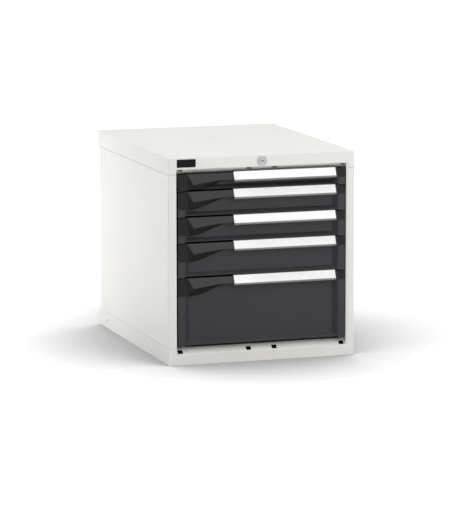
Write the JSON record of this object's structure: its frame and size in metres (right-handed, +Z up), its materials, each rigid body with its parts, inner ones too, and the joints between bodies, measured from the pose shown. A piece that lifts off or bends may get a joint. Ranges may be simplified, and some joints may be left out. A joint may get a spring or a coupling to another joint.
{
  "type": "drawer cabinet",
  "caption": "Free-standing sheet-steel drawer cabinet with recessed drawer fronts, label grips, full-extension runners and one central lock",
  "frame": {"origin": "on the floor under the middle of the whole object, grips included", "axes": "+Z up, +X to the right seen from the front, +Y to the back; the drawers slide out along -Y"},
  "size_m": [0.564, 0.7384, 0.6],
  "materials": {
    "body_enamel": "fine powder coat, pale warm grey",
    "drawer_enamel": "satin powder coat, anthracite",
    "grip_aluminium": "grey anodised, satin",
    "label_card": "plain white card",
    "clear_cover": "clear extruded strip",
    "black_plastic": "moulded, fine grain",
    "black_gloss": "smooth black",
    "zinc_steel": "zinc plated",
    "lock_chrome": "satin chrome"
  },
  "bodies": {
    "cabinet": {"top_cover": "body_enamel", "base_plinth": "body_enamel", "side_panel_left": "body_enamel", "side_panel_right": "body_enamel", "back_panel": "body_enamel", "back_panel_screws": "zinc_steel", "uprights_front": "zinc_steel", "uprights_rear": "zinc_steel", "cabinet_runners": "zinc_steel", "lock_housing": "lock_chrome", "lock_nut": "zinc_steel", "nameplate": "black_gloss"},
    "drawer_1": {"drawer_1_front": "drawer_enamel", "drawer_1_box": "drawer_enamel", "drawer_1_runners": "zinc_steel", "drawer_1_grip": "grip_aluminium", "drawer_1_label": "label_card", "drawer_1_label_cover": "clear_cover", "drawer_1_grip_cap": "black_plastic", "drawer_1_end_cap": "black_plastic"},
    "carriage_1": {"drawer_1_carriages": "zinc_steel"},
    "drawer_2": {"drawer_2_front": "drawer_enamel", "drawer_2_box": "drawer_enamel", "drawer_2_runners": "zinc_steel", "drawer_2_grip": "grip_aluminium", "drawer_2_label": "label_card", "drawer_2_label_cover": "clear_cover", "drawer_2_grip_cap": "black_plastic", "drawer_2_end_cap": "black_plastic"},
    "carriage_2": {"drawer_2_carriages": "zinc_steel"},
    "drawer_3": {"drawer_3_front": "drawer_enamel", "drawer_3_box": "drawer_enamel", "drawer_3_runners": "zinc_steel", "drawer_3_grip": "grip_aluminium", "drawer_3_label": "label_card", "drawer_3_label_cover": "clear_cover", "drawer_3_grip_cap": "black_plastic", "drawer_3_end_cap": "black_plastic"},
    "carriage_3": {"drawer_3_carriages": "zinc_steel"},
    "drawer_4": {"drawer_4_front": "drawer_enamel", "drawer_4_box": "drawer_enamel", "drawer_4_runners": "zinc_steel", "drawer_4_grip": "grip_aluminium", "drawer_4_label": "label_card", "drawer_4_label_cover": "clear_cover", "drawer_4_grip_cap": "black_plastic", "drawer_4_end_cap": "black_plastic"},
    "carriage_4": {"drawer_4_carriages": "zinc_steel"},
    "drawer_5": {"drawer_5_front": "drawer_enamel", "drawer_5_box": "drawer_enamel", "drawer_5_runners": "zinc_steel", "drawer_5_grip": "grip_aluminium", "drawer_5_label": "label_card", "drawer_5_label_cover": "clear_cover", "drawer_5_grip_cap": "black_plastic", "drawer_5_end_cap": "black_plastic"},
    "carriage_5": {"drawer_5_carriages": "zinc_steel"},
    "lock_cylinder": {"lock_plug": "lock_chrome", "lock_cam": "zinc_steel"},
    "lock_bar": {"lock_bar": "zinc_steel"}
  },
  "joints": [
    {"name": "drawer_1_slide", "type": "slide", "parent": "cabinet", "child": "drawer_1", "axis": [0, -1, 0], "range_m": [0, 0.6]},
    {"name": "carriage_1_slide", "type": "slide", "parent": "cabinet", "child": "carriage_1", "axis": [0, -1, 0], "range_m": [0, 0.3]},
    {"name": "drawer_2_slide", "type": "slide", "parent": "cabinet", "child": "drawer_2", "axis": [0, -1, 0], "range_m": [0, 0.6]},
    {"name": "carriage_2_slide", "type": "slide", "parent": "cabinet", "child": "carriage_2", "axis": [0, -1, 0], "range_m": [0, 0.3]},
    {"name": "drawer_3_slide", "type": "slide", "parent": "cabinet", "child": "drawer_3", "axis": [0, -1, 0], "range_m": [0, 0.6]},
    {"name": "carriage_3_slide", "type": "slide", "parent": "cabinet", "child": "carriage_3", "axis": [0, -1, 0], "range_m": [0, 0.3]},
    {"name": "drawer_4_slide", "type": "slide", "parent": "cabinet", "child": "drawer_4", "axis": [0, -1, 0], "range_m": [0, 0.6]},
    {"name": "carriage_4_slide", "type": "slide", "parent": "cabinet", "child": "carriage_4", "axis": [0, -1, 0], "range_m": [0, 0.3]},
    {"name": "drawer_5_slide", "type": "slide", "parent": "cabinet", "child": "drawer_5", "axis": [0, -1, 0], "range_m": [0, 0.6]},
    {"name": "carriage_5_slide", "type": "slide", "parent": "cabinet", "child": "carriage_5", "axis": [0, -1, 0], "range_m": [0, 0.3]},
    {"name": "lock_turn", "type": "hinge", "parent": "cabinet", "child": "lock_cylinder", "pos_m": [0, -0.35584, 0.583], "axis": [0, 1, 0], "range_deg": [0, 90]},
    {"name": "lock_bar_drop", "type": "slide", "parent": "cabinet", "child": "lock_bar", "axis": [0, 0, -1], "range_m": [0, 0.01]}
  ],
  "couplings": [
    {"joint": "carriage_1_slide", "follows": "drawer_1_slide", "ratio": 0.5},
    {"joint": "carriage_2_slide", "follows": "drawer_2_slide", "ratio": 0.5},
    {"joint": "carriage_3_slide", "follows": "drawer_3_slide", "ratio": 0.5},
    {"joint": "carriage_4_slide", "follows": "drawer_4_slide", "ratio": 0.5},
    {"joint": "carriage_5_slide", "follows": "drawer_5_slide", "ratio": 0.5},
    {"joint": "lock_turn", "follows": "lock_bar_drop", "rad_per_m": 157.07}
  ]
}
